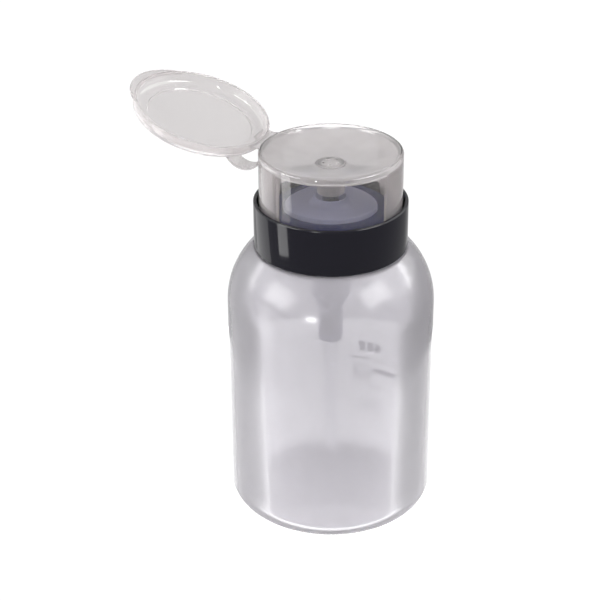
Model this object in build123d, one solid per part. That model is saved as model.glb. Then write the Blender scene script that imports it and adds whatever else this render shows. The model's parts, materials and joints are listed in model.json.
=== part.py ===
from build123d import *
import os
from math import cos, radians, sin, sqrt, tan

# Push-down liquid dispenser: a squat round bottle, a screw closure inside a black collar ring, a spring-loaded
# pump, a dished push head and a flip lid.  Millimetres, +Z up, origin at the centre of the bottle's base.
# The lid hinge is on the -X side.  The rest pose has the head up and the lid thrown fully open.

# ---- driving dimensions -------------------------------------------------------------------------------
bottle_radius = 33.0
bottle_wall = 1.0
base_corner = 6.0            # radius of the rounded lower edge
base_push_up = 1.8           # how far the middle of the base is dished upwards
foot_width = 1.5             # flat ring that the bottle stands on
shoulder_start = 72.0        # height where the straight side ends
shoulder_radius = 26.0

head_radius = 22.5
head_skirt_wall = 1.2
pressed_rise = 9.27          # the dish rim stands this far above the collar when the head is pressed down
stroke = 7.0                 # how far the head is pressed
skirt_clearance = 0.8        # between the pressed skirt and the closure's floor
rim_round = 0.9              # rounding of the dish rim's outer edge
rim_land = 1.7               # width of the rim between its outer face and the dish
dish_depth = 4.5
dish_wall = 1.2
dish_lip = 0.3               # the dish's edge lies this far below the rim
lip_width = 0.4              # width of the small slope between them
dish_root = 2.2              # the dish's underside meets the skirt this far below the rim
guide_leg = 1.1              # thickness of the two guide legs inside the skirt
leg_azimuth = 27.0           # direction of the legs' middles, from +X
leg_half_angle = 40.0

collar_gap = 0.55            # between the head's skirt and the collar
collar_wall = 1.2
collar_height = 15.25
collar_edge = 0.4            # rounding of the collar's outer edges

closure_gap = 0.3            # between the head's legs and the closure
closure_wall = 1.4
closure_floor = 1.2
deck_thickness = 1.1

neck_height = 11.0
neck_wall = 1.8
thread_lead = 4.0            # rise of the closure in one turn
thread_height = 1.1
thread_base = 1.6            # width of the ridge where it leaves the wall
thread_crest = 0.7
thread_turns = 1.4
thread_gap = 0.2             # radial gap between a crest and the opposite wall
thread_offset = 1.5          # the closure's ridge runs this far below the neck's
thread_sunk = 0.3            # how deep the ridge's root goes into its wall

gasket_thickness = 0.8
flange_thickness = 1.2
face_gap = 0.1               # between parts that turn or slide past each other face to face
seat_gap = 0.3               # between the collar and the bottle's shelf

guide_disc_radius = 14.0
guide_disc_height = 1.6
guide_disc_edge = 0.5        # rounding of the disc's upper edge
boss_wall = 0.65
boss_height = 2.2            # above the guide disc
boss_fillet = 2.0
bushing_length = 1.4
plug_wall = 0.7              # wall of the plug that the guide sets in the housing

housing_wall = 0.9
lower_housing_wall = 0.7
housing_taper = 5.0          # length of the cone between the two diameters
lower_housing_length = 11.5
housing_length = 29.0        # the wide part, below its flange

stem_radius = 2.6
stem_bore = 1.2
stem_gap = 0.1
socket_wall = 1.7
socket_length = 7.0          # below the dish
outlet_cap_thickness = 1.3
outlet_cap_rise = 0.6        # how far the cap stands above the dish
outlet_cap_edge = 0.3        # rounding of the cap's upper edge
outlet_hole = 0.55
outlet_well = 0.5            # depth of the hollow under the cap
outlet_well_edge = 0.2       # how far the hollow runs past the holes

piston_length = 5.0
piston_gap = 0.15
seal_gap = 0.05
seal_depth = 0.95
seal_height = 2.6
seal_waist = 0.35            # depth of the hollow between the seal's two lips
stem_floor = 1.0             # thickness of the piston under the stem
piston_spigot = 2.2
spigot_length = 3.0

spring_wire = 0.3            # radius of the wire
spring_gap = 0.2             # between the coil and the walls inside and outside it
spring_turns = 11.5

ball_radius = 1.5
ball_lift = 0.6
ball_gap = 0.25              # between the inlet ball and its cage
outlet_gap = 0.3             # between the outlet ball and its bore
inlet_hole = 1.0
cage_wall = 0.55
cage_plate = 0.9
cage_roof = 0.8
cage_slot = 1.0              # width of the cage's side slots
cage_slot_height = 1.4
dip_tube_radius = 2.1
dip_tube_bore = 1.5
dip_tube_grip = 2.6          # length held in the housing
dip_tube_stop = 0.9          # floor between the tube and the inlet ball
dip_tube_cut = 35.0          # slant of the tube's lower end
dip_tube_tip = 15.0          # height of the tube's lower end

lid_inset = 0.5              # the lid's side stands this far inside the head's
lid_height = 4.6
lid_wall = 0.9
lid_corner = 2.4             # outer rounding of the lid's crown
lid_gap = 0.15               # between the closed lid and the dish rim
lid_step_radius = 17.2
lid_step = 0.3
lid_open = 162.0
hinge_reach = 0.5            # the hinge line lies this far outside the head
hinge_drop = 0.5             # and this far below the dish rim
tab_radius = 17.0
tab_reach = 2.6              # how far the thumb tab stands out
tab_thickness = 1.1
hinge_web_half = 7.0
hinge_web_thickness = 0.4
hinge_web_drop = 0.4         # the film's middle lies this far below the hinge line
hinge_web_hold = 0.9         # how far the film runs on into the lid's wall
strap_inner = 5.6            # distance of each strap's inner and outer edges from the middle
strap_outer = 12.0
strap_thickness = 0.7
strap_drop = 1.9             # where the straps leave the head, below the dish rim
strap_sag = 6.4              # their lowest point, below the dish rim
strap_bow = 0.6              # the lowest point lies this far past half-way
strap_root = 0.5             # how far they run on into the head's side
strap_hold = 0.45            # and into the lid's crown
strap_inset = 4.8            # from the lid's side to where they meet its crown

# ---- what follows from them ---------------------------------------------------------------------------
collar_inner = head_radius + collar_gap
collar_radius = collar_inner + collar_wall
lid_radius = head_radius - lid_inset
closure_radius = head_radius - head_skirt_wall - guide_leg - closure_gap
closure_bore = closure_radius - closure_wall
neck_radius = closure_bore - thread_gap - thread_height
neck_bore = neck_radius - neck_wall

socket_radius = stem_radius + socket_wall
outlet_cap_radius = socket_radius
boss_bore = socket_radius + closure_gap
boss_radius = boss_bore + boss_wall
plug_radius = boss_bore + plug_wall
housing_bore = plug_radius
housing_radius = housing_bore + housing_wall
cage_bore = ball_radius + ball_gap
cage_radius = cage_bore + cage_wall
spring_radius = cage_radius + spring_gap + spring_wire
lower_bore = spring_radius + spring_wire + spring_gap
lower_housing_radius = lower_bore + lower_housing_wall

shelf_radius = collar_radius + seat_gap
shoulder_x = bottle_radius - shoulder_radius
shelf_z = shoulder_start + sqrt(shoulder_radius ** 2 - (shelf_radius - shoulder_x) ** 2)
collar_bottom = shelf_z + seat_gap
collar_top = collar_bottom + collar_height
neck_top = shelf_z + neck_height
flange_bottom = neck_top + gasket_thickness
flange_top = flange_bottom + flange_thickness
deck_bottom = flange_top + face_gap
deck_top = deck_bottom + deck_thickness
disc_bottom = deck_top + face_gap
disc_top = disc_bottom + guide_disc_height
boss_top = disc_top + boss_height
skirt_bottom = collar_bottom + closure_floor + stroke + skirt_clearance
head_top = collar_top + pressed_rise + stroke

dish_z = head_top - dish_depth
cap_bottom = dish_z + outlet_cap_rise - outlet_cap_thickness
socket_bottom = dish_z - dish_wall - socket_length
stem_top = cap_bottom - ball_lift - ball_radius - sqrt(ball_radius ** 2 - stem_bore ** 2)
boss_floor = socket_bottom - stroke - closure_gap
bushing_bottom = boss_floor - bushing_length

piston_top = bushing_bottom - closure_gap
piston_bottom = piston_top - piston_length
stem_bottom = piston_bottom + stem_floor
taper_top = flange_bottom - housing_length
taper_bottom = taper_top - housing_taper
housing_bottom = taper_bottom - lower_housing_length
inlet_seat = housing_bottom + dip_tube_grip + dip_tube_stop
inlet_ball_z = inlet_seat + sqrt(ball_radius ** 2 - inlet_hole ** 2)
cage_ceiling = inlet_ball_z + ball_radius + ball_lift
spring_bottom = inlet_seat + cage_plate

hinge_x = -(head_radius + hinge_reach)
hinge_z = head_top - hinge_drop
hinge_axis = Axis((hinge_x, 0, hinge_z), (0, -1, 0))


# ---- small helpers ------------------------------------------------------------------------------------
def cylinder(radius, low, high):
    return Pos(0, 0, low) * Cylinder(radius, high - low, align=(Align.CENTER, Align.CENTER, Align.MIN))


def tube(radius, bore, low, high):
    return cylinder(radius, low, high) - cylinder(bore, low - 1, high + 1)


def turned(*edges):
    """A solid of revolution about Z.  The edges are drawn as (distance from the axis, height)."""
    return revolve(make_face(Plane.XZ * Curve(edges)), Axis.Z)


def dome_arc(edge, middle_z, edge_z):
    """An arc from the axis out to (edge, edge_z) that crosses the axis square, so that it turns into a sphere."""
    rise = edge_z - middle_z
    sphere = (edge ** 2 + rise ** 2) / (2 * abs(rise))
    half_rise = (sphere - sqrt(sphere ** 2 - (edge / 2) ** 2)) * (1 if rise > 0 else -1)
    return ThreePointArc((0, middle_z), (edge / 2, middle_z + half_rise), (edge, edge_z))


def helix_ridge(root, height, start, sign):
    """A screw thread's ridge on a wall of radius root.  sign is +1 outwards (neck) and -1 inwards (closure)."""
    path = Helix(thread_lead, thread_lead * thread_turns, root, center=(0, 0, start))
    flank = (thread_base - thread_crest) / 2 / height
    half_root, half_crest = thread_base / 2 + thread_sunk * flank, thread_crest / 2
    section = Polyline(
        (-sign * thread_sunk, -half_root), (sign * height, -half_crest), (sign * height, half_crest),
        (-sign * thread_sunk, half_root), close=True)
    plane = Plane(origin=path @ 0, x_dir=(1, 0, 0), z_dir=path % 0)
    return sweep(plane * make_face(section), path=path, is_frenet=True)


def open_lid(shape):
    """Swings a shape drawn in the closed position to the fully open one."""
    return shape.rotate(hinge_axis, lid_open)


def open_point(x, z):
    """The same swing for a point in the XZ plane."""
    u, w, swing = x - hinge_x, z - hinge_z, radians(lid_open)
    return (hinge_x + u * cos(swing) - w * sin(swing), hinge_z + u * sin(swing) + w * cos(swing))


# ---- bottle -------------------------------------------------------------------------------------------
def make_bottle():
    r, w, c = bottle_radius, bottle_wall, base_corner
    foot = r - c - foot_width
    diagonal = sin(radians(45))
    inner_shelf_z = shelf_z - w
    inner_shelf = shoulder_x + sqrt((shoulder_radius - w) ** 2 - (inner_shelf_z - shoulder_start) ** 2)
    shoulder_mid = radians(20)

    def shoulder_point(radius):
        return (shoulder_x + radius * cos(shoulder_mid), shoulder_start + radius * sin(shoulder_mid))

    body = turned(
        dome_arc(foot, base_push_up, 0),
        Line((foot, 0), (r - c, 0)),
        ThreePointArc((r - c, 0), (r - c + c * diagonal, c - c * diagonal), (r, c)),
        Line((r, c), (r, shoulder_start)),
        ThreePointArc((r, shoulder_start), shoulder_point(shoulder_radius), (shelf_radius, shelf_z)),
        Line((shelf_radius, shelf_z), (neck_radius, shelf_z)),
        Line((neck_radius, shelf_z), (neck_radius, neck_top)),
        Line((neck_radius, neck_top), (neck_bore, neck_top)),
        Line((neck_bore, neck_top), (neck_bore, inner_shelf_z)),
        Line((neck_bore, inner_shelf_z), (inner_shelf, inner_shelf_z)),
        ThreePointArc((inner_shelf, inner_shelf_z), shoulder_point(shoulder_radius - w), (r - w, shoulder_start)),
        Line((r - w, shoulder_start), (r - w, c)),
        ThreePointArc((r - w, c), (r - c + (c - w) * diagonal, c - (c - w) * diagonal), (r - c, w)),
        Line((r - c, w), (foot, w)),
        dome_arc(foot, base_push_up + w, w),
        Line((0, base_push_up + w), (0, base_push_up)))
    ridge_start = neck_top - thread_base - thread_lead * thread_turns
    return body + helix_ridge(neck_radius, thread_height, ridge_start, 1)


# ---- closure and collar -------------------------------------------------------------------------------
def make_closure():
    body = tube(closure_radius, closure_bore, collar_bottom, deck_top)
    body += tube(collar_inner, closure_bore, collar_bottom, collar_bottom + closure_floor)
    body += tube(closure_bore + 0.1, housing_radius + closure_gap, deck_bottom, deck_top)
    ridge_start = neck_top - thread_base - thread_lead * thread_turns - thread_offset
    return body + helix_ridge(closure_bore, thread_height, ridge_start, -1)


def make_collar():
    ring = tube(collar_radius, collar_inner, collar_bottom, collar_top)
    return fillet(ring.edges().filter_by(GeomType.CIRCLE), collar_edge)


# ---- pump ---------------------------------------------------------------------------------------------
def make_gasket():
    return tube(neck_radius, housing_radius + closure_gap, neck_top, flange_bottom)


def make_housing():
    outer = cylinder(neck_radius, flange_bottom, flange_top)
    outer += cylinder(housing_radius, taper_top, flange_bottom)
    outer += Pos(0, 0, taper_bottom) * Cone(lower_housing_radius, housing_radius, housing_taper,
                                            align=(Align.CENTER, Align.CENTER, Align.MIN))
    outer += cylinder(lower_housing_radius, housing_bottom, taper_bottom)
    inner = cylinder(housing_bore, taper_top, flange_top + 1)
    inner += Pos(0, 0, taper_bottom) * Cone(lower_bore, housing_bore, housing_taper,
                                            align=(Align.CENTER, Align.CENTER, Align.MIN))
    inner += cylinder(lower_bore, inlet_seat, taper_bottom)
    inner += cylinder(inlet_hole, housing_bottom - 1, inlet_seat)
    inner += cylinder(dip_tube_radius, housing_bottom - 1, housing_bottom + dip_tube_grip)
    return outer - inner


def make_pump_guide():
    """The guide disc on top of the closure, with the boss that the head's socket slides into."""
    disc = cylinder(guide_disc_radius, disc_bottom, disc_top)
    disc = fillet(disc.edges().filter_by(GeomType.CIRCLE).group_by(Axis.Z)[-1], guide_disc_edge)
    disc += cylinder(boss_radius, disc_bottom, boss_top)
    disc = fillet(disc.edges().filter_by(GeomType.CIRCLE).filter_by(
        lambda e: abs(e.radius - boss_radius) < 0.01 and abs(e.center().Z - disc_top) < 0.01), boss_fillet)
    disc += cylinder(plug_radius, bushing_bottom, disc_bottom)
    return disc - cylinder(boss_bore, boss_floor, boss_top + 1) - cylinder(
        stem_radius + stem_gap, bushing_bottom - 1, boss_floor)


def make_ball_cage():
    cage = cylinder(lower_bore, inlet_seat, spring_bottom) + cylinder(
        cage_radius, inlet_seat, cage_ceiling + cage_roof)
    cage -= cylinder(cage_bore, inlet_seat - 1, cage_ceiling)
    cage -= cylinder(ball_radius * 0.55, cage_ceiling - 1, cage_ceiling + 2)
    slot = Pos(0, 0, cage_ceiling - cage_slot_height / 2) * Box(cage_slot, 3 * cage_radius, cage_slot_height)
    return cage - slot - slot.rotate(Axis.Z, 90)


def make_spring():
    height = piston_bottom - spring_bottom - 2 * spring_wire
    path = Helix(height / spring_turns, height, spring_radius, center=(0, 0, spring_bottom + spring_wire))
    plane = Plane(origin=path @ 0, x_dir=(1, 0, 0), z_dir=path % 0)
    return sweep(plane * Circle(spring_wire), path=path, is_frenet=True)


def make_dip_tube():
    body = tube(dip_tube_radius, dip_tube_bore, dip_tube_tip, housing_bottom + dip_tube_grip)
    cut = Pos(0, 0, dip_tube_tip) * Rot(0, dip_tube_cut, 0) * Box(
        30, 30, 10, align=(Align.CENTER, Align.CENTER, Align.MAX))
    return body - cut


# ---- plunger ------------------------------------------------------------------------------------------
def make_stem():
    return tube(stem_radius, stem_bore, stem_bottom, stem_top)


def make_piston():
    radius = housing_bore - piston_gap
    body = cylinder(radius, piston_bottom, piston_top)
    body += cylinder(piston_spigot, piston_bottom - spigot_length, piston_bottom)
    groove_bottom = piston_top - (piston_length + seal_height) / 2
    body -= tube(radius + 1, radius - seal_depth, groove_bottom, groove_bottom + seal_height)
    body -= cylinder(stem_radius, stem_bottom, piston_top + 1)
    return body - cylinder(stem_bore, piston_bottom - spigot_length - 1, stem_bottom)


def make_piston_seal():
    inner = housing_bore - piston_gap - seal_depth
    low = piston_top - (piston_length + seal_height) / 2
    ring = tube(housing_bore - seal_gap, inner, low, low + seal_height)
    waist_radius = housing_bore - seal_gap - seal_waist
    waist = tube(housing_bore + 1, waist_radius, low + seal_height * 0.3, low + seal_height * 0.7)
    return ring - waist


# ---- head ---------------------------------------------------------------------------------------------
def make_push_head():
    inner = head_radius - head_skirt_wall
    dish_edge = head_radius - rim_land
    lower_edge = dish_edge - lip_width
    under_z = dish_z - dish_wall
    under_edge_z = head_top - dish_root
    quarter = sin(radians(45)) * rim_round

    shell = turned(
        dome_arc(dish_edge, dish_z, head_top - dish_lip),
        Line((dish_edge, head_top - dish_lip), (dish_edge + lip_width, head_top)),
        Line((dish_edge + lip_width, head_top), (head_radius - rim_round, head_top)),
        ThreePointArc((head_radius - rim_round, head_top),
                      (head_radius - rim_round + quarter, head_top - rim_round + quarter),
                      (head_radius, head_top - rim_round)),
        Line((head_radius, head_top - rim_round), (head_radius, skirt_bottom)),
        Line((head_radius, skirt_bottom), (inner, skirt_bottom)),
        Line((inner, skirt_bottom), (inner, under_edge_z)),
        Line((inner, under_edge_z), (lower_edge, under_edge_z)),
        dome_arc(lower_edge, under_z, under_edge_z),
        Line((0, under_z), (0, dish_z)))
    leg = tube(inner + 0.1, inner - guide_leg, skirt_bottom, under_edge_z + dish_lip)
    keep = 3 * head_radius
    wedge_half = keep * tan(radians(leg_half_angle))
    wedge = Polyline((0, 0), (keep, -wedge_half), (keep, wedge_half), close=True)
    wedge_solid = Pos(0, 0, skirt_bottom) * extrude(make_face(wedge), head_top - skirt_bottom)
    for turn in (leg_azimuth, leg_azimuth + 180):
        shell += leg & wedge_solid.rotate(Axis.Z, turn)
    shell += cylinder(socket_radius, socket_bottom, dish_z)
    shell -= cylinder(outlet_cap_radius, cap_bottom, head_top + 1)
    shell -= cylinder(stem_radius, socket_bottom - 1, stem_top)
    return shell - cylinder(ball_radius + outlet_gap, stem_top - 1, cap_bottom + 1)


def make_outlet_cap():
    cap = cylinder(outlet_cap_radius, cap_bottom, cap_bottom + outlet_cap_thickness)
    cap = fillet(cap.edges().filter_by(GeomType.CIRCLE).group_by(Axis.Z)[-1], outlet_cap_edge)
    circle = outlet_cap_radius / 2 + outlet_cap_edge
    for place in PolarLocations(circle, 5):
        cap -= place * cylinder(outlet_hole, cap_bottom - 1, cap_bottom + 5)
    return cap - cylinder(circle + outlet_hole + outlet_well_edge, cap_bottom - 1, cap_bottom + outlet_well)


# ---- lid and its hinge --------------------------------------------------------------------------------
def make_lid():
    low = head_top + lid_gap
    high = low + lid_height
    r, w, c = lid_radius, lid_wall, lid_corner
    diagonal = sin(radians(45))
    k = c - w
    pan = turned(
        Line((0, high), (r - c, high)),
        ThreePointArc((r - c, high), (r - c + c * diagonal, high - c + c * diagonal), (r, high - c)),
        Line((r, high - c), (r, low)),
        Line((r, low), (r - w, low)),
        Line((r - w, low), (r - w, high - c)),
        ThreePointArc((r - w, high - c), (r - c + k * diagonal, high - c + k * diagonal), (r - c, high - w)),
        Line((r - c, high - w), (lid_step_radius, high - w)),
        Line((lid_step_radius, high - w), (lid_step_radius - lid_step, high - w + lid_step)),
        Line((lid_step_radius - lid_step, high - w + lid_step), (0, high - w + lid_step)),
        Line((0, high - w + lid_step), (0, high)))
    tab = Pos(r + tab_reach - tab_radius, 0, 0) * cylinder(tab_radius, low, low + tab_thickness)
    return open_lid(pan + (tab - cylinder(r - w / 2, low - 1, high)))


def make_hinge_web():
    """The thin film between the head's rim and the open lid."""
    half = hinge_web_half
    edge = sqrt(head_radius ** 2 - half ** 2)
    reach = lid_radius - sqrt(lid_radius ** 2 - half ** 2) + hinge_reach + lid_inset + hinge_web_hold
    middle = hinge_z - hinge_web_drop
    far_end = hinge_x - reach
    web_length = -far_end - edge + 2 * hinge_reach
    web = Pos((far_end - edge) / 2, 0, middle) * Box(web_length, 2 * half, hinge_web_thickness)
    lid_body = open_lid(cylinder(lid_radius + face_gap, head_top - 2, head_top + lid_gap + lid_height + 1))
    return web - cylinder(head_radius, 0, head_top + 10) - lid_body


def make_strap(side):
    """One of the two straps that hold the open lid: a band that hangs in an arc from the head to the lid."""
    y_middle = side * (strap_inner + strap_outer) / 2
    start = (-sqrt(head_radius ** 2 - strap_outer ** 2) + strap_root, head_top - strap_drop)
    end = open_point(strap_inset - lid_radius, head_top + lid_gap + lid_height - strap_hold)
    low = ((start[0] + end[0]) / 2 - strap_bow, head_top - strap_sag)
    arc = Plane.XZ * ThreePointArc(start, low, end)
    section = Plane(origin=arc @ 0, x_dir=(0, 1, 0), z_dir=arc % 0) * Rectangle(
        strap_outer - strap_inner, strap_thickness)
    band = Pos(0, y_middle, 0) * sweep(section, path=arc)
    lid_body = open_lid(cylinder(lid_radius + face_gap, head_top, head_top + lid_gap + lid_height + face_gap))
    return band - cylinder(head_radius, 0, head_top + 10) - lid_body


# ---- all the pieces -----------------------------------------------------------------------------------
pieces = {
    "bottle": make_bottle(),
    "closure": make_closure(),
    "collar": make_collar(),
    "neck_gasket": make_gasket(),
    "pump_housing": make_housing(),
    "pump_guide": make_pump_guide(),
    "ball_cage": make_ball_cage(),
    "inlet_ball": Pos(0, 0, inlet_ball_z) * Sphere(ball_radius),
    "return_spring": make_spring(),
    "dip_tube": make_dip_tube(),
    "stem": make_stem(),
    "piston": make_piston(),
    "piston_seal": make_piston_seal(),
    "outlet_ball": Pos(0, 0, cap_bottom - ball_lift - ball_radius) * Sphere(ball_radius),
    "push_head": make_push_head(),
    "outlet_cap": make_outlet_cap(),
    "lid": make_lid(),
    "hinge_web": make_hinge_web(),
    "strap_near": make_strap(-1),
    "strap_far": make_strap(1),
}

os.makedirs("parts", exist_ok=True)
for name, shape in pieces.items():
    export_step(shape, f"parts/{name}.step")
    print(name, len(shape.solids()), round(shape.volume, 2))
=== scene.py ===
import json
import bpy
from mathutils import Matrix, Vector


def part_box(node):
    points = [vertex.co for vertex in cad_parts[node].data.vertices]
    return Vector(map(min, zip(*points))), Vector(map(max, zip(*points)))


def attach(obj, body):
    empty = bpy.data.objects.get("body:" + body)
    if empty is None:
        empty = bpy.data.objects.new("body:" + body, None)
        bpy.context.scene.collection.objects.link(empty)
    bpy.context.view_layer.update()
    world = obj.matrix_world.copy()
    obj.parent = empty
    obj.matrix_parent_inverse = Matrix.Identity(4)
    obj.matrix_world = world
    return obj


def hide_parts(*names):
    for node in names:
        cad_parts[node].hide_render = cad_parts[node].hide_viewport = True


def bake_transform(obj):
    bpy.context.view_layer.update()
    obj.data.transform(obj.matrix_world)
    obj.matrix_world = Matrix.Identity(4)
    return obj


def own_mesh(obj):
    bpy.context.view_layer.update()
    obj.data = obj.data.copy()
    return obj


bl_info = {
    "name": "Push-down liquid dispenser",
    "version": (1, 0, 0),
    "blender": (4, 5, 0),
    "location": "View3D > Sidebar > Dispenser",
    "description": "Builds a frosted pump bottle with a dish head and flip lid around its packed frame",
    "category": "Add Mesh",
}

import bmesh
import bpy
import numpy as np
from bpy.props import FloatProperty, FloatVectorProperty, IntProperty, PointerProperty
from mathutils import Matrix, Vector

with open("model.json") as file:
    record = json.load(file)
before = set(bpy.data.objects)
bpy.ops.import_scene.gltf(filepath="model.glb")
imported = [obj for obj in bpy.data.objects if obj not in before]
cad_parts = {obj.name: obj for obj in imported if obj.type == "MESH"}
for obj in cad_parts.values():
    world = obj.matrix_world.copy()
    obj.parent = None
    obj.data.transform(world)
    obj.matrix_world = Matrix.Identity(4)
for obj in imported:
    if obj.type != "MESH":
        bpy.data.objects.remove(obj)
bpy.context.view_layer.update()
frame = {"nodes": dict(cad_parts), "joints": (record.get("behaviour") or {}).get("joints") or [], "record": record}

MM = 0.001


def corner_mm(node, which, axis):
    """One number of a CAD node's box in millimetres: which is 0 for its low corner, 1 for its high one."""
    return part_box(node)[which][axis] / MM


def joint(name):
    """The record of the joint of that name."""
    return next(j for j in frame["joints"] if j["name"] == name)


# ---- sizes read from the frame, in millimetres
BOTTLE_R = corner_mm("bottle", 1, 0)
NECK_TOP = corner_mm("bottle", 1, 2)
COLLAR_R = corner_mm("collar", 1, 0)
COLLAR_LOW, COLLAR_TOP = corner_mm("collar", 0, 2), corner_mm("collar", 1, 2)
FLOOR_R = corner_mm("closure", 1, 0)
DECK_TOP = corner_mm("closure", 1, 2)
GASKET_R = corner_mm("neck_gasket", 1, 0)
HEAD_R = corner_mm("push_head", 1, 0)
SKIRT_LOW, HEAD_TOP = corner_mm("push_head", 0, 2), corner_mm("push_head", 1, 2)
CAP_R = corner_mm("outlet_cap", 1, 0)
CAP_LOW = corner_mm("outlet_cap", 0, 2)
STEM_R, STEM_TOP = corner_mm("stem", 1, 0), corner_mm("stem", 1, 2)
GUIDE_R = corner_mm("pump_guide", 1, 0)
GUIDE_LOW, BOSS_TOP = corner_mm("pump_guide", 0, 2), corner_mm("pump_guide", 1, 2)
HOUSING_LOW, FLANGE_TOP = corner_mm("pump_housing", 0, 2), corner_mm("pump_housing", 1, 2)
FLANGE_R = corner_mm("pump_housing", 1, 0)
SPRING_LOW, SPRING_TOP = corner_mm("return_spring", 0, 2), corner_mm("return_spring", 1, 2)
SPRING_R = corner_mm("return_spring", 1, 0)
TUBE_R = corner_mm("dip_tube", 1, 0)
TUBE_LOW, TUBE_TOP = corner_mm("dip_tube", 0, 2), corner_mm("dip_tube", 1, 2)
HINGE_X, _, HINGE_Z = (v / MM for v in joint("lid_hinge")["pos_m"])
LID_SWING = np.radians(-joint("lid_hinge")["range_deg"][0])
THREAD_LEAD = 2 * np.pi / frame["record"]["behaviour"]["couplings"][0]["ratio"] / MM


# ---- settings a user may change
def length(name, text, value):
    """A length setting, with its default given in millimetres."""
    return FloatProperty(name=name, description=text, default=value * MM, subtype="DISTANCE", unit="LENGTH")


def linear(code):
    """A colour written as sRGB hex, such as c8c5ca, as linear red, green and blue."""
    srgb = np.array([int(code[i:i + 2], 16) for i in (0, 2, 4)]) / 255
    return tuple(np.where(srgb <= 0.04045, srgb / 12.92, ((srgb + 0.055) / 1.055) ** 2.4))


def colour(name, text, code):
    """A colour setting, with its default given as sRGB hex."""
    return FloatVectorProperty(name=name, description=text, default=linear(code), size=3, subtype="COLOR",
                               min=0.0, max=1.0)


class DispenserSizes(bpy.types.PropertyGroup):
    bottle_wall: length("Bottle wall", "Thickness of the blown bottle's wall", 1.0)
    base_corner: length("Base corner", "Radius of the bottle's rounded lower edge", 6.0)
    base_push_up: length("Base push-up", "How far the middle of the base is dished upwards", 1.8)
    shoulder_start: length("Shoulder start", "Height where the bottle's straight side ends", 72.0)
    shoulder_radius: length("Shoulder radius", "Radius of the bottle's shoulder", 26.0)
    collar_wall: length("Collar wall", "Thickness of the black collar", 1.2)
    skirt_wall: length("Skirt wall", "Thickness of the push head's skirt", 1.2)
    dish_depth: length("Dish depth", "How deep the push head is dished", 4.5)
    lid_radius: length("Lid radius", "Radius of the flip lid", 22.0)
    lid_height: length("Lid height", "Height of the flip lid", 4.6)
    tab_reach: length("Tab reach", "How far the thumb tab stands out of the lid", 2.6)
    turns: FloatProperty(name="Spring turns", description="Turns of the return spring", default=11.5, min=3.0)
    facets: IntProperty(name="Facets", description="Facets round every turned piece", default=160, min=24)


class DispenserColours(bpy.types.PropertyGroup):
    bottle: colour("Bottle", "Milky tint of the natural polyethylene", "d6d3d9")
    head: colour("Head", "Haze of the clear polypropylene", "f1eeee")
    lid: colour("Lid", "Haze of the lid's polypropylene", "f8f5f5")
    # the guide disc's pale colour is painted light from the dish above it, lighter than the pump's same
    # polypropylene
    guide: colour("Guide disc", "Natural polypropylene of the guide disc", "cbcfe8")
    pump: colour("Pump", "Natural polypropylene of the pump", "9294a2")
    # the closure's dark colour is painted shade of the recess under the push head; its blue tint is the plastic's
    # own
    closure: colour("Closure", "Bluish polypropylene of the closure", "404983")
    collar: colour("Collar", "Black of the collar", "0d0c15")
    print_ink: colour("Print", "Dark ink of the printed marks", "18161e")


def sizes():
    return bpy.context.scene.dispenser_sizes


def colours():
    return bpy.context.scene.dispenser_colours


# ---- surfaces
MERGE_DISTANCE = 1e-7   # metres


def arc(centre, radius, start, end, steps=10):
    """Points of a circle round centre = (r, z): centre + radius * (cos a, sin a), with a in degrees from
    start to end."""
    a = np.radians(np.linspace(start, end, steps))
    return np.column_stack([centre[0] + radius * np.cos(a), centre[1] + radius * np.sin(a)])


def dome(edge, middle_z, edge_z, steps=24):
    """A shallow spherical cap from the axis out to r = edge.  Its radius is (edge^2 + rise^2) / (2 rise), and
    each point's height is middle_z + radius - sqrt(radius^2 - r^2), with the sign of the rise."""
    rise = edge_z - middle_z
    ball = (edge ** 2 + rise ** 2) / (2 * abs(rise))
    r = np.linspace(0, edge, steps)
    return np.column_stack([r, middle_z + np.sign(rise) * (ball - np.sqrt(ball ** 2 - r ** 2))])


def outline(*runs):
    """One profile from points and arrays of points, in order."""
    return np.vstack([np.atleast_2d(np.asarray(run, float)) for run in runs])


def rounded(points, radii, steps=6):
    """A closed profile with its corners rounded.  At each corner the arc of radius q touches both sides at
    q / tan(half the corner's angle) from it, and a radius of 0 leaves the corner sharp."""
    corners = np.asarray(points, float)
    runs = []
    for here, before, after, q in zip(corners, np.roll(corners, 1, 0), np.roll(corners, -1, 0), radii):
        if q == 0:
            runs.append(here[None])
            continue
        to_before = (before - here) / np.linalg.norm(before - here)
        to_after = (after - here) / np.linalg.norm(after - here)
        half = np.arccos(np.clip(to_before @ to_after, -1, 1)) / 2
        middle = (to_before + to_after) / np.linalg.norm(to_before + to_after)
        centre = here + middle * q / np.sin(half)
        t = np.linspace(-1, 1, steps)[:, None] * (np.pi / 2 - half)
        across = to_after - middle * (to_after @ middle)
        across /= np.linalg.norm(across)
        runs.append(centre - q * np.cos(t) * middle + q * np.sin(t) * across)
    return np.vstack(runs)


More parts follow.
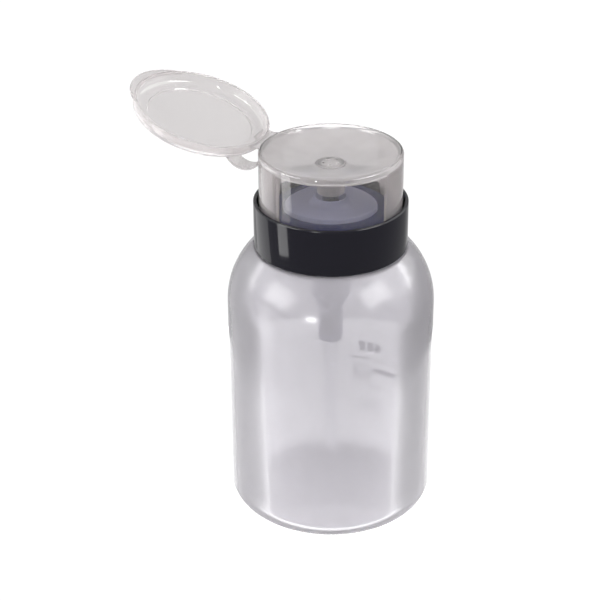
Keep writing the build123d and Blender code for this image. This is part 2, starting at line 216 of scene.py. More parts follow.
def make_piece(name, grid, body, material, ring=False, sharp=35, replaces=()):
    """A closed mesh from a grid of points in millimetres, rows by columns by 3.  Quads join each point to
    the next in both directions, and the last column to the first.  The last row joins the first in a ring;
    otherwise the end rows are points, merged into a pole.  Edges over sharp degrees stay hard."""
    rows, columns = grid.shape[:2]
    index = np.arange(rows * columns).reshape(rows, columns)
    if ring:
        index = np.vstack([index, index[:1]])
    index = np.column_stack([index, index[:, :1]])
    corners = [index[:-1, :-1], index[:-1, 1:], index[1:, 1:], index[1:, :-1]]
    quads = np.stack(corners, -1).reshape(-1, 4)
    mesh = bpy.data.meshes.new(name)
    mesh.vertices.add(rows * columns)
    mesh.vertices.foreach_set("co", (grid.reshape(-1) * MM).astype(np.float32))
    mesh.loops.add(quads.size)
    mesh.loops.foreach_set("vertex_index", quads.reshape(-1).astype(np.int32))
    mesh.polygons.add(len(quads))
    mesh.polygons.foreach_set("loop_start", (np.arange(len(quads)) * 4).astype(np.int32))
    mesh.update(calc_edges=True)
    work = bmesh.new()
    work.from_mesh(mesh)
    bmesh.ops.remove_doubles(work, verts=work.verts, dist=MERGE_DISTANCE)
    bmesh.ops.dissolve_degenerate(work, edges=work.edges, dist=MERGE_DISTANCE / 10)
    bmesh.ops.recalc_face_normals(work, faces=work.faces)
    if work.calc_volume(signed=True) < 0:
        bmesh.ops.reverse_faces(work, faces=work.faces)
    work.to_mesh(mesh)
    work.free()
    mesh.shade_smooth()
    mesh.set_sharp_from_angle(angle=np.radians(sharp))
    mesh.materials.append(material)
    piece = bpy.data.objects.new(name, mesh)
    bpy.context.scene.collection.objects.link(piece)
    if body:
        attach(piece, body)
    if replaces:
        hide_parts(*replaces)
    return piece


def turned(profile, facets=None):
    """A profile of (r, z) points turned about the axis: the point at angle a is (r cos a, r sin a, z)."""
    a = np.linspace(0, 2 * np.pi, facets or sizes().facets, endpoint=False)
    r, z = profile[:, :1], profile[:, 1:]
    return np.stack([r * np.cos(a), r * np.sin(a), z + 0 * a], -1)


def capped(sections):
    """Sections along a path, with each end closed by one more section shrunk to the end's middle point."""
    first = np.broadcast_to(sections[0].mean(0), sections[0].shape)
    last = np.broadcast_to(sections[-1].mean(0), sections[-1].shape)
    return np.concatenate([first[None], sections, last[None]])


def swing_open(points):
    """Turns points about the lid's hinge line, from closed to fully open: with u = x - hinge x and
    w = z - hinge z, u' = u cos s - w sin s and w' = u sin s + w cos s, for the swing s."""
    u, w = points[..., 0] - HINGE_X, points[..., 2] - HINGE_Z
    c, s = np.cos(LID_SWING), np.sin(LID_SWING)
    return np.stack([HINGE_X + u * c - w * s, points[..., 1], HINGE_Z + u * s + w * c], -1)


# ---- materials
PLASTIC_IOR = 1.49


def add(tree, kind, inputs=None, **settings):
    """Adds a node, sets its properties, and gives each input its value or links it to another's output."""
    node = tree.nodes.new(kind)
    for key, value in settings.items():
        setattr(node, key, value)
    for key, value in (inputs or {}).items():
        if isinstance(value, bpy.types.NodeSocket):
            tree.links.new(value, node.inputs[key])
        else:
            node.inputs[key].default_value = value
    return node


def new_material(name):
    """An empty material, its node tree, and its surface position in metres."""
    material = bpy.data.materials.new(name)
    material.use_nodes = True
    tree = material.node_tree
    tree.nodes.clear()
    return material, tree, add(tree, "ShaderNodeTexCoord").outputs["Object"]


def surfaced(material, shader):
    """The material, with the shader as its surface."""
    add(material.node_tree, "ShaderNodeOutputMaterial", {"Surface": shader.outputs[0]})
    return material


def rgba(rgb):
    """A shader colour from linear red, green and blue."""
    return (*rgb, 1.0)


def per_metre(size_mm):
    """A texture scale whose features are about size_mm across."""
    return 1 / (size_mm * MM)


def hazy_plastic(name, rgb, haze, haze_spread, roughness, flow_mm, waviness, ior=PLASTIC_IOR):
    """Clear or milky moulded plastic.  A share of the light, the haze, scatters back and forward off the
    wall, and the rest goes through it as through clear plastic.  The haze varies by haze_spread either way
    over patches of flow_mm, where the melt flowed, and slow waves there move the highlights a little."""
    material, tree, place = new_material(name)
    flow = add(tree, "ShaderNodeTexNoise", {"Vector": place, "Scale": per_metre(flow_mm), "Detail": 2.0})
    bump = add(tree, "ShaderNodeBump", {
        "Height": flow.outputs["Fac"], "Strength": waviness, "Distance": 0.2 * MM})
    clear = add(tree, "ShaderNodeBsdfPrincipled", {
        "Base Color": rgba(rgb), "Roughness": roughness, "IOR": ior, "Transmission Weight": 1.0,
        "Normal": bump.outputs["Normal"]})
    scatter = scattering(tree, rgba(rgb), bump.outputs["Normal"])
    cloud = add(tree, "ShaderNodeMapRange", {
        "Value": flow.outputs["Fac"], "To Min": haze - haze_spread, "To Max": haze + haze_spread})
    mix = add(tree, "ShaderNodeMixShader", {
        0: cloud.outputs["Result"], 1: clear.outputs[0], 2: scatter.outputs[0]})
    return surfaced(material, mix)


def scattering(tree, tint, normal):
    """The cloudy share of a milky wall: half of its light comes back and half goes on through it."""
    back = add(tree, "ShaderNodeBsdfDiffuse", {"Color": tint, "Normal": normal})
    forward = add(tree, "ShaderNodeBsdfTranslucent", {"Color": tint, "Normal": normal})
    return add(tree, "ShaderNodeMixShader", {0: 0.5, 1: back.outputs[0], 2: forward.outputs[0]})


def frosted_polyethylene():
    """Natural high-density polyethylene, blown and left uncoloured: milky, with a satin skin.  The wall lets
    the pump show through as a pale shape, and fine orange peel softens the highlights.  The skin's sheen is
    a layer of its own, and the light that goes through is hardly bent, as in a thin wall, so its IOR is
    close to 1."""
    material, tree, place = new_material("frosted_polyethylene")
    cloud = add(tree, "ShaderNodeTexNoise", {"Vector": place, "Scale": per_metre(22), "Detail": 2.0})
    peel = add(tree, "ShaderNodeTexNoise", {"Vector": place, "Scale": per_metre(1.6), "Detail": 3.0})
    bump = add(tree, "ShaderNodeBump", {
        "Height": peel.outputs["Fac"], "Strength": 0.12, "Distance": 0.1 * MM})
    scatter = scattering(tree, rgba(colours().bottle), bump.outputs["Normal"])
    through = add(tree, "ShaderNodeBsdfPrincipled", {
        "Base Color": (0.955, 0.955, 0.96, 1.0), "Roughness": 0.02, "IOR": 1.02, "Transmission Weight": 1.0,
        "Normal": bump.outputs["Normal"]})
    share = add(tree, "ShaderNodeMapRange", {"Value": cloud.outputs["Fac"], "To Min": 0.39, "To Max": 0.47})
    wall = add(tree, "ShaderNodeMixShader", {
        0: share.outputs["Result"], 1: through.outputs[0], 2: scatter.outputs[0]})
    rough = add(tree, "ShaderNodeMapRange", {"Value": peel.outputs["Fac"], "To Min": 0.14, "To Max": 0.2})
    skin = add(tree, "ShaderNodeBsdfGlossy", {
        "Color": (1.0, 1.0, 1.0, 1.0), "Roughness": rough.outputs["Result"],
        "Normal": bump.outputs["Normal"]})
    fresnel = add(tree, "ShaderNodeFresnel", {"IOR": 1.3, "Normal": bump.outputs["Normal"]})
    mix = add(tree, "ShaderNodeMixShader", {0: fresnel.outputs[0], 1: wall.outputs[0], 2: skin.outputs[0]})
    return surfaced(material, mix)


def clear_polypropylene():
    """Clarified polypropylene, injection moulded in a polished tool: nearly clear in a thin wall, with the
    slight cloudiness that sets it apart from glass, and bright lines along its edges."""
    return hazy_plastic("clear_polypropylene", colours().head, haze=0.05, haze_spread=0.03, roughness=0.04,
                        flow_mm=12, waviness=0.08)


def lid_polypropylene():
    """The same clarified polypropylene in the lid, its hinge film and its straps, scuffed by use and so a
    little hazier than the head's skirt."""
    return hazy_plastic("lid_polypropylene", colours().lid, haze=0.22, haze_spread=0.03, roughness=0.05,
                        flow_mm=12, waviness=0.08)


def cloudy_polypropylene():
    """The same clarified polypropylene where it is thick: the dish and the socket under it, which cooled
    slowly and so look milkier."""
    return hazy_plastic("cloudy_polypropylene", colours().head, haze=0.34, haze_spread=0.05, roughness=0.06,
                        flow_mm=10, waviness=0.08)


def natural_polypropylene():
    """Uncoloured polypropylene of the pump, moulded in a plain tool: translucent and greyish.  Its IOR is
    set below the usual 1.49 so that the thin cylinder bends little of what is behind it."""
    return hazy_plastic("natural_polypropylene", colours().pump, haze=0.22, haze_spread=0.04, roughness=0.04,
                        flow_mm=6, waviness=0.1, ior=1.35)


def lit_guide_polypropylene():
    """The same polypropylene in the thicker guide disc, which lets less light through; its colour is set lighter
    than the pump's as painted light falling through the dish onto it.
    """
    return hazy_plastic("lit_guide_polypropylene", colours().guide, haze=0.75, haze_spread=0.05, roughness=0.16,
                        flow_mm=6, waviness=0.1)


def shaded_closure_polypropylene():
    """Translucent polypropylene of the closure with a trace of blue, its colour darkened as painted shade of the
    recess under the push head, where little light reaches the deck.
    """
    return hazy_plastic("shaded_closure_polypropylene", colours().closure, haze=0.8, haze_spread=0.05,
                        roughness=0.22, flow_mm=6, waviness=0.15)


def tube_polyethylene():
    """Extruded polyethylene tube: nearly clear in its thin wall, with fine lines drawn along it."""
    material, tree, place = new_material("tube_polyethylene")
    stretch = add(tree, "ShaderNodeMapping", {"Vector": place, "Scale": (1.0, 1.0, 0.02)})
    lines = add(tree, "ShaderNodeTexNoise", {
        "Vector": stretch.outputs[0], "Scale": per_metre(0.4), "Detail": 2.0})
    bump = add(tree, "ShaderNodeBump", {
        "Height": lines.outputs["Fac"], "Strength": 0.2, "Distance": 0.05 * MM})
    shader = add(tree, "ShaderNodeBsdfPrincipled", {
        "Base Color": rgba(linear("fbfbfc")), "Roughness": 0.12, "IOR": 1.12, "Transmission Weight": 0.92,
        "Normal": bump.outputs["Normal"]})
    return surfaced(material, shader)


def black_gloss():
    """Black polypropylene moulded in a polished tool: near black, with clear reflections and a few faint
    rub marks round it from unscrewing."""
    material, tree, place = new_material("black_gloss_polypropylene")
    flat = add(tree, "ShaderNodeMapping", {"Vector": place, "Scale": (0.15, 0.15, 3.0)})
    rubs = add(tree, "ShaderNodeTexNoise", {"Vector": flat.outputs[0], "Scale": per_metre(3), "Detail": 5.0})
    rough = add(tree, "ShaderNodeMapRange", {
        "Value": rubs.outputs["Fac"], "From Min": 0.45, "From Max": 0.8, "To Min": 0.07, "To Max": 0.16})
    shader = add(tree, "ShaderNodeBsdfPrincipled", {
        "Base Color": rgba(colours().collar), "Roughness": rough.outputs["Result"],
        "IOR": PLASTIC_IOR, "Specular IOR Level": 0.5})
    return surfaced(material, shader)


def bright_steel(name, rgb, grain_mm, detail, smooth, rough):
    """Bare stainless steel whose roughness wanders from smooth to rough over grains of grain_mm."""
    material, tree, place = new_material(name)
    grain = add(tree, "ShaderNodeTexNoise", {
        "Vector": place, "Scale": per_metre(grain_mm), "Detail": detail})
    sheen = add(tree, "ShaderNodeMapRange", {
        "Value": grain.outputs["Fac"], "To Min": smooth, "To Max": rough})
    shader = add(tree, "ShaderNodeBsdfPrincipled", {
        "Base Color": rgba(rgb), "Metallic": 1.0, "Roughness": sheen.outputs["Result"]})
    return surfaced(material, shader)


def spring_steel():
    """Stainless spring wire, drawn through a die: satin, darker than a polished ball."""
    return bright_steel("stainless_spring_wire", linear("55565e"), 0.25, 3.0, 0.2, 0.38)


def polished_steel():
    """Stainless bearing ball: ground and polished."""
    return bright_steel("polished_stainless_ball", linear("c4c6ca"), 0.8, 2.0, 0.05, 0.12)


def foam_gasket():
    """White expanded-polyethylene liner foam: matt, with fine closed cells."""
    material, tree, place = new_material("polyethylene_liner_foam")
    cells = add(tree, "ShaderNodeTexVoronoi", {"Vector": place, "Scale": per_metre(0.35)})
    bump = add(tree, "ShaderNodeBump", {
        "Height": cells.outputs["Distance"], "Strength": 0.35, "Distance": 0.1 * MM})
    shader = add(tree, "ShaderNodeBsdfPrincipled", {
        "Base Color": rgba(linear("e6e6e2")), "Roughness": 0.8, "Normal": bump.outputs["Normal"]})
    return surfaced(material, shader)


def seal_polyethylene():
    """Soft low-density polyethylene of the piston seal: white and waxy."""
    material, tree, place = new_material("soft_polyethylene_seal")
    wax = add(tree, "ShaderNodeTexNoise", {"Vector": place, "Scale": per_metre(1.2), "Detail": 2.0})
    rough = add(tree, "ShaderNodeMapRange", {"Value": wax.outputs["Fac"], "To Min": 0.34, "To Max": 0.46})
    shader = add(tree, "ShaderNodeBsdfPrincipled", {
        "Base Color": rgba(linear("dcdcdc")), "Roughness": rough.outputs["Result"], "IOR": 1.51})
    return surfaced(material, shader)


def printed_ink(name, strength):
    """Dark screen-printing ink on the bottle: matt, a little broken where the screen's mesh let less through.
    strength is how much of the wall it hides."""
    material, tree, place = new_material(name)
    mesh = add(tree, "ShaderNodeTexNoise", {"Vector": place, "Scale": per_metre(0.7), "Detail": 3.0})
    ink = add(tree, "ShaderNodeBsdfPrincipled", {"Base Color": rgba(colours().print_ink), "Roughness": 0.6})
    gap = add(tree, "ShaderNodeBsdfTransparent")
    cover = add(tree, "ShaderNodeMapRange", {
        "Value": mesh.outputs["Fac"], "From Min": 0.3, "From Max": 0.6, "To Min": strength * 0.6,
        "To Max": strength})
    mix = add(tree, "ShaderNodeMixShader", {0: cover.outputs["Result"], 1: gap.outputs[0], 2: ink.outputs[0]})
    return surfaced(material, mix)


made_materials = {}


def finish_of(maker):
    """The material that a function above makes, made the first time that it is asked for."""
    if maker not in made_materials:
        made_materials[maker] = maker()
    return made_materials[maker]


# ---- bottle
NECK_R = GASKET_R
NECK_BORE = NECK_R - 1.8
NECK_LIP = 0.35             # radius of the neck's rounded mouth
NECK_FOOT = 0.8             # radius where the neck meets the shoulder
SHELF_R = COLLAR_R + 0.3    # the flat under the collar
SHELF_Z = COLLAR_LOW - 0.3
FOOT_RING = 1.5             # width of the ring that the bottle stands on
THREAD_HEIGHT = 1.1
THREAD_TURNS = 1.4
THREAD_WIDTH = 1.6
THREAD_OFFSET = 1.5         # the closure's ridge below the neck's
THREAD_SUNK = 0.15          # how far a ridge's root lies in its wall
THREAD_START = NECK_TOP - THREAD_WIDTH - THREAD_LEAD * THREAD_TURNS
FINE_FACETS = 192           # facets round the widest pieces


class DISPENSER_OT_bottle(bpy.types.Operator):
    """Turns the frosted bottle, with a dished base, a big soft shoulder and the neck hidden by the collar"""
    bl_idname = "dispenser.bottle"
    bl_label = "Bottle"

    def execute(self, context):
        s = sizes()
        wall, corner, rise = s.bottle_wall / MM, s.base_corner / MM, s.base_push_up / MM
        start, sweep = s.shoulder_start / MM, s.shoulder_radius / MM
        foot = BOTTLE_R - corner - FOOT_RING
        centre = (BOTTLE_R - sweep, start)
        top_angle = np.degrees(np.arccos((SHELF_R - centre[0]) / sweep))
        inner_shelf_z = SHELF_Z - wall
        inner_angle = np.degrees(np.arcsin((inner_shelf_z - start) / (sweep - wall)))
        profile = outline(
            dome(foot, rise, 0),
            arc((BOTTLE_R - corner, corner), corner, -90, 0, 16),
            arc(centre, sweep, 0, top_angle, 40),
            (NECK_R + NECK_FOOT, SHELF_Z),
            arc((NECK_R + NECK_FOOT, SHELF_Z + NECK_FOOT), NECK_FOOT, 270, 180, 6),
            arc((NECK_R - NECK_LIP, NECK_TOP - NECK_LIP), NECK_LIP, 0, 90, 5),
            arc((NECK_BORE + NECK_LIP, NECK_TOP - NECK_LIP), NECK_LIP, 90, 180, 5),
            (NECK_BORE, inner_shelf_z),
            arc(centre, sweep - wall, inner_angle, 0, 40),
            arc((BOTTLE_R - corner, corner), corner - wall, 0, -90, 16),
            dome(foot, rise + wall, wall)[::-1])
        frosted = finish_of(frosted_polyethylene)
        make_piece("bottle_shell", turned(profile, FINE_FACETS), "bottle", frosted,
                   replaces=("bottle",))
        make_piece("neck_thread", thread(NECK_R, 1, THREAD_START), "bottle", frosted)
        return {"FINISHED"}


def thread(root, sign, start, steps=160):
    """A screw thread's ridge.  Along it, angle a runs through the turns and the middle rises by the lead in
    each turn.  Its section is a trapezoid of half-widths w(d) at depth d from the wall, and both shrink
    smoothly to nothing over the last tenth of the length at each end."""
    t = np.linspace(0, 1, steps)
    angle = 2 * np.pi * THREAD_TURNS * t
    end = np.clip(np.minimum(t, 1 - t) / 0.1, 0.02, 1)
    size = end * end * (3 - 2 * end)
    flank = THREAD_HEIGHT * np.array([0.55, 0.9, 1.0])
    depth = np.concatenate([[-THREAD_SUNK], flank, flank[::-1], [-THREAD_SUNK]])
    across = np.array([-0.5, -0.38, -0.26, -0.16, 0.16, 0.26, 0.38, 0.5]) * THREAD_WIDTH
    out = np.where(depth > 0, depth * size[:, None], depth)
    r = root + sign * out
    z = start + THREAD_LEAD * THREAD_TURNS * t[:, None] + across * (0.3 + 0.7 * size[:, None])
    return capped(np.stack([r * np.cos(angle)[:, None], r * np.sin(angle)[:, None], z], -1))


class DISPENSER_OT_print(bpy.types.Operator):
    """Lays the plain printed marks on the far side of the bottle: blocks, rules and a pale patch"""
    bl_idname = "dispenser.print"
    bl_label = "Printed marks"

    def execute(self, context):
        # each mark: middle direction in degrees, middle height, width and height in mm, and how dark it is
        marks = [(96.6, 36.9, 2.3, 3.6, 1.0), (91.4, 36.9, 2.3, 3.6, 1.0), (86.4, 36.9, 2.1, 3.2, 0.9),
                 (98.0, 32.2, 7.4, 0.6, 0.9), (81.3, 32.0, 8.0, 0.5, 0.4),
                 (81.4, 28.2, 9.2, 1.9, 0.95), (96.5, 26.8, 6.4, 6.4, 0.2),
                 (84.0, 21.6, 9.6, 0.7, 0.35), (93.0, 13.5, 11.0, 5.0, 0.12)]
        for number, (turn, height, width, tall, dark) in enumerate(marks):
            name = f"print_mark_{number + 1}"
            make_piece(name, printed_patch(turn, height, width, tall), "bottle",
                       printed_ink(f"{name}_ink", dark), sharp=60)
        return {"FINISHED"}


def printed_patch(turn, height, width, tall, lift=0.03):
    """A rounded rectangle of ink wrapped on the bottle.  Its rim is a superellipse: x and y are the cube
    roots of cos a and sin a, with a the angle round it, and x becomes an angle of x width / 2R about the
    bottle's axis.  Its thickness is lift, and it lies that far off the wall."""
    a = np.linspace(0, 2 * np.pi, 40, endpoint=False)
    x, y = np.cbrt(np.cos(a)), np.cbrt(np.sin(a))
    share = np.array([0.0, 0.5, 1.0, 1.0, 0.5, 0.0])[:, None]
    radius = BOTTLE_R + np.array([2, 2, 2, 1, 1, 1])[:, None] * lift
    angle = np.radians(turn) + share * x * width / 2 / BOTTLE_R
    return np.stack([radius * np.cos(angle), radius * np.sin(angle), height + share * y * tall / 2], -1)


# ---- collar and closure
SLEEVE_R = HEAD_R - 2.6     # the closure's sleeve, inside the head's guide legs
SLEEVE_WALL, DECK_WALL, FLOOR_WALL = 1.4, 1.1, 1.2
DECK_HOLE = 6.5


class DISPENSER_OT_collar(bpy.types.Operator):
    """Turns the black collar ring and the threaded closure inside it"""
    bl_idname = "dispenser.collar"
    bl_label = "Collar and closure"

    def execute(self, context):
        inner = COLLAR_R - sizes().collar_wall / MM
        ring = rounded(
            [(inner, COLLAR_LOW), (COLLAR_R, COLLAR_LOW), (COLLAR_R, COLLAR_TOP), (inner, COLLAR_TOP)],
            [0.15, 0.4, 0.4, 0.4])
        make_piece("collar_ring", turned(ring, FINE_FACETS), "closure",
                   finish_of(black_gloss), ring=True, replaces=("collar",))
        bore = SLEEVE_R - SLEEVE_WALL
        deck, floor = DECK_TOP - DECK_WALL, COLLAR_LOW + FLOOR_WALL
        body = rounded(
            [(bore, COLLAR_LOW), (FLOOR_R, COLLAR_LOW), (FLOOR_R, floor), (SLEEVE_R, floor),
             (SLEEVE_R, DECK_TOP), (DECK_HOLE, DECK_TOP), (DECK_HOLE, deck), (bore, deck)],
            [0.2, 0.1, 0.3, 0.4, 0.35, 0.15, 0.1, 0.3])
        # the closure's finish has painted shade: its colour is darkened for the recess under the head
        bluish = finish_of(shaded_closure_polypropylene)
        make_piece("closure_body", turned(body), "closure", bluish, ring=True,
                   replaces=("closure",))
        make_piece("closure_thread", thread(bore, -1, THREAD_START - THREAD_OFFSET), "closure",
                   bluish)
        return {"FINISHED"}


# ---- pump
BOSS_R, BOSS_BORE, BOSS_FILLET = 5.25, 4.6, 2.0     # the guide disc's middle boss
DISC_TOP = BOSS_TOP - 2.2
DISC_LOW = DISC_TOP - 1.6
BUSHING_R, BUSHING_FLOOR = 5.3, 1.4                 # the bushing that the stem slides in
CYLINDER_R, CYLINDER_BORE = 6.2, 5.3                # the housing's wide part, and the part below its cone
INLET_R, INLET_BORE = 4.0, 3.3
FLANGE_THICKNESS, CYLINDER_LENGTH, CONE_LENGTH = 1.2, 29.0, 5.0
SEAT_HEIGHT, SEAT_FLOOR, SEAT_HOLE = 3.5, 2.6, 1.0  # the inlet ball's seat, from the housing's low end
TUBE_WALL, TUBE_CUT = 0.6, np.tan(np.radians(35))
WIRE_R = 0.3


class DISPENSER_OT_pump(bpy.types.Operator):
    """Turns the pump's guide disc, housing and dip tube, and winds the return spring"""
    bl_idname = "dispenser.pump"
    bl_label = "Pump"

    def execute(self, context):
        natural = finish_of(natural_polypropylene)
        bushing, floor = STEM_R + 0.1, GUIDE_LOW + BUSHING_FLOOR
        guide = outline(
            (GUIDE_R, DISC_LOW),
            arc((GUIDE_R - 0.5, DISC_TOP - 0.5), 0.5, 0, 90, 6),
            arc((BOSS_R + BOSS_FILLET, DISC_TOP + BOSS_FILLET), BOSS_FILLET, 270, 180, 12),
            arc((BOSS_R - 0.3, BOSS_TOP - 0.3), 0.3, 0, 90, 4),
            arc((BOSS_BORE + 0.3, BOSS_TOP - 0.3), 0.3, 90, 180, 4),
            (BOSS_BORE, floor), (bushing, floor), (bushing, GUIDE_LOW), (BUSHING_R, GUIDE_LOW),
            (BUSHING_R, DISC_LOW))
        # the guide disc's finish has painted light: its colour is made paler than the pump's
        make_piece("guide_disc", turned(guide), "pump", finish_of(lit_guide_polypropylene),
                   ring=True, replaces=("pump_guide",))
        flange_low = FLANGE_TOP - FLANGE_THICKNESS
        cone_top = flange_low - CYLINDER_LENGTH
        cone_low = cone_top - CONE_LENGTH
        seat, under_seat = HOUSING_LOW + SEAT_HEIGHT, HOUSING_LOW + SEAT_FLOOR
        housing = rounded(
            [(FLANGE_R, flange_low), (FLANGE_R, FLANGE_TOP), (CYLINDER_BORE, FLANGE_TOP),
             (CYLINDER_BORE, cone_top), (INLET_BORE, cone_low), (INLET_BORE, seat), (SEAT_HOLE, seat),
             (SEAT_HOLE, under_seat), (TUBE_R, under_seat), (TUBE_R, HOUSING_LOW), (INLET_R, HOUSING_LOW),
             (INLET_R, cone_low), (CYLINDER_R, cone_top), (CYLINDER_R, flange_low)],
            [0.2, 0.2, 0.2, 1.0, 1.0, 0.2, 0.1, 0.1, 0.1, 0.1, 0.4, 1.5, 1.5, 0.4])
        make_piece("pump_cylinder", turned(housing, 96), "pump", natural, ring=True,
                   replaces=("pump_housing",))
        make_piece("dip_tube_cut", dip_tube_grid(), "pump", finish_of(tube_polyethylene),
                   ring=True, replaces=("dip_tube",))
        coil = make_piece("return_spring_coil", spring_grid(), "pump",
                          finish_of(spring_steel), replaces=("return_spring",))
        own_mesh(coil)
        return {"FINISHED"}


def dip_tube_grid():
    """The tube's wall as a closed profile turned about the axis, with its lower end cut at 35 degrees: there
    the height rises by tan 35 times the distance from the tube's +X side."""
    bore = TUBE_R - TUBE_WALL
    profile = rounded([(bore, TUBE_LOW), (TUBE_R, TUBE_LOW), (TUBE_R, TUBE_TOP), (bore, TUBE_TOP)],
                      [0.1, 0.1, 0.1, 0.1], 3)
    grid = turned(profile, 48)
    at_tip = (profile[:, 1] < TUBE_LOW + 1)[:, None]
    grid[..., 2] += at_tip * TUBE_CUT * (TUBE_R - grid[..., 0])
    return grid


def spring_grid():
    """A coil of round wire.  At share t of its length the wire's middle is at angle 2 pi turns t on the mean
    radius, and its height is the running sum of a pitch that is a third of the full one over the first and
    last turn.  The wire's circle lies square to that path."""
    turns = sizes().turns
    mean = SPRING_R - WIRE_R
    t = np.linspace(0, 1, int(turns * 36))
    from_end = np.minimum(t, 1 - t) * turns
    pitch = 0.33 + 0.67 * np.clip((from_end - 0.6) / 0.8, 0, 1)
    rise = np.concatenate([[0], np.cumsum((pitch[1:] + pitch[:-1]) / 2)])
    height = SPRING_LOW + WIRE_R + rise / rise[-1] * (SPRING_TOP - SPRING_LOW - 2 * WIRE_R)
    angle = 2 * np.pi * turns * t
    middle = np.stack([mean * np.cos(angle), mean * np.sin(angle), height], -1)
    along = np.gradient(middle, axis=0)
    along /= np.linalg.norm(along, axis=1, keepdims=True)
    outward = np.stack([np.cos(angle), np.sin(angle), 0 * angle], -1)
    up = np.cross(outward, along)
    ring = np.linspace(0, 2 * np.pi, 12, endpoint=False)[None, :, None]
    return capped(middle[:, None] + WIRE_R * (np.cos(ring) * outward[:, None] + np.sin(ring) * up[:, None]))


# ---- push head
LEG_AZIMUTH, LEG_HALF_ANGLE, LEG_THICKNESS = 27.0, 40.0, 1.1
DISH_WALL, DISH_STEP = 1.2, 0.3     # thickness under the dish, and its edge below the rim
RIM_WIDTH, RIM_ROUND, RIM_DEPTH = 1.7, 0.9, 2.2
SOCKET_LENGTH, OUTLET_R = 7.0, 1.8


class DISPENSER_OT_head(bpy.types.Operator):
    """Turns the push head with its dish, skirt and stem socket, and sets the two guide legs inside it"""
    bl_idname = "dispenser.head"
    bl_label = "Push head"

    def execute(self, context):
        s = sizes()
        inner = HEAD_R - s.skirt_wall / MM
        dish = HEAD_TOP - s.dish_depth / MM
        edge, under_z = HEAD_R - RIM_WIDTH, HEAD_TOP - RIM_DEPTH
        under = dish - DISH_WALL
        socket_low = under - SOCKET_LENGTH
        upper = dome(edge, dish, HEAD_TOP - DISH_STEP, 40)
        lower = dome(edge - 0.4, under, under_z, 40)
        shell = outline(
            (OUTLET_R, CAP_LOW), (CAP_R, CAP_LOW),
            upper[upper[:, 0] > CAP_R + 0.1],
            arc((edge + 0.45, HEAD_TOP - 0.35), 0.35, 135, 90, 4),
            arc((HEAD_R - RIM_ROUND, HEAD_TOP - RIM_ROUND), RIM_ROUND, 90, 0, 10),
            arc((HEAD_R - 0.3, SKIRT_LOW + 0.3), 0.3, 0, -90, 4),
            arc((inner + 0.3, SKIRT_LOW + 0.3), 0.3, 270, 180, 4),
            arc((inner - 0.5, under_z - 0.5), 0.5, 0, 90, 5),
            lower[lower[:, 0] > CAP_R + 0.7][::-1],
            arc((CAP_R + 0.6, under - 0.5), 0.6, 90, 180, 5),
            arc((CAP_R - 0.3, socket_low + 0.3), 0.3, 0, -90, 4),
            (STEM_R, socket_low), (STEM_R, STEM_TOP), (OUTLET_R, STEM_TOP))
        clear, cloudy = finish_of(clear_polypropylene), finish_of(cloudy_polypropylene)
        head = make_piece("dish_head", turned(shell, FINE_FACETS), "head", clear,
                          ring=True, replaces=("push_head",))
        head.data.materials.append(cloudy)
        heights = np.array([p.center.z for p in head.data.polygons]) / MM
        spread = np.array([np.hypot(p.center.x, p.center.y) for p in head.data.polygons]) / MM
        in_dish = (heights > under - 0.1) & (spread < HEAD_R - RIM_ROUND) | (spread < CAP_R + 0.7)
        head.data.polygons.foreach_set("material_index", in_dish.astype(np.int32))
        for number, turn in enumerate((LEG_AZIMUTH, LEG_AZIMUTH + 180)):
            leg = leg_grid(turn, inner, under_z)
            make_piece(f"guide_leg_{number + 1}", leg, "head", cloudy)
        return {"FINISHED"}


def leg_grid(turn, outer, top):
    """A guide leg: a rounded rectangle in (r, z), carried round the axis from one end of its arc to the
    other, and just clear of the skirt and of the dish."""
    low_r, high_r, high_z = outer - LEG_THICKNESS, outer - 0.02, top - 0.05
    section = rounded([(low_r, SKIRT_LOW), (high_r, SKIRT_LOW), (high_r, high_z), (low_r, high_z)],
                      [0.25, 0.05, 0.05, 0.25], 4)
    a = np.radians(turn + np.linspace(-LEG_HALF_ANGLE, LEG_HALF_ANGLE, 60))[:, None]
    r, z = section[:, 0], section[:, 1]
    return capped(np.stack([r * np.cos(a), r * np.sin(a), z + 0 * a], -1))


# ---- lid and its hinge
LID_LOW = HEAD_TOP + 0.15
LID_WALL = 0.9
LID_CORNER = 2.4
LID_STEP_R, LID_STEP = 17.2, 0.3            # the round recess of the lid's ceiling
TAB_EDGE_R, TAB_THICKNESS = 17.0, 1.1
FILM_HALF_WIDTH = 7.0
STRAP_THICKNESS, STRAP_WIDTH, STRAP_Y = 0.7, 6.4, 8.8
STRAP_ROOT_Y, STRAP_ROOT_DROP = 12.0, 1.9   # where the strap leaves the head, from its axis and its top
STRAP_HANG = 6.4                            # the strap's lowest point below the head's top


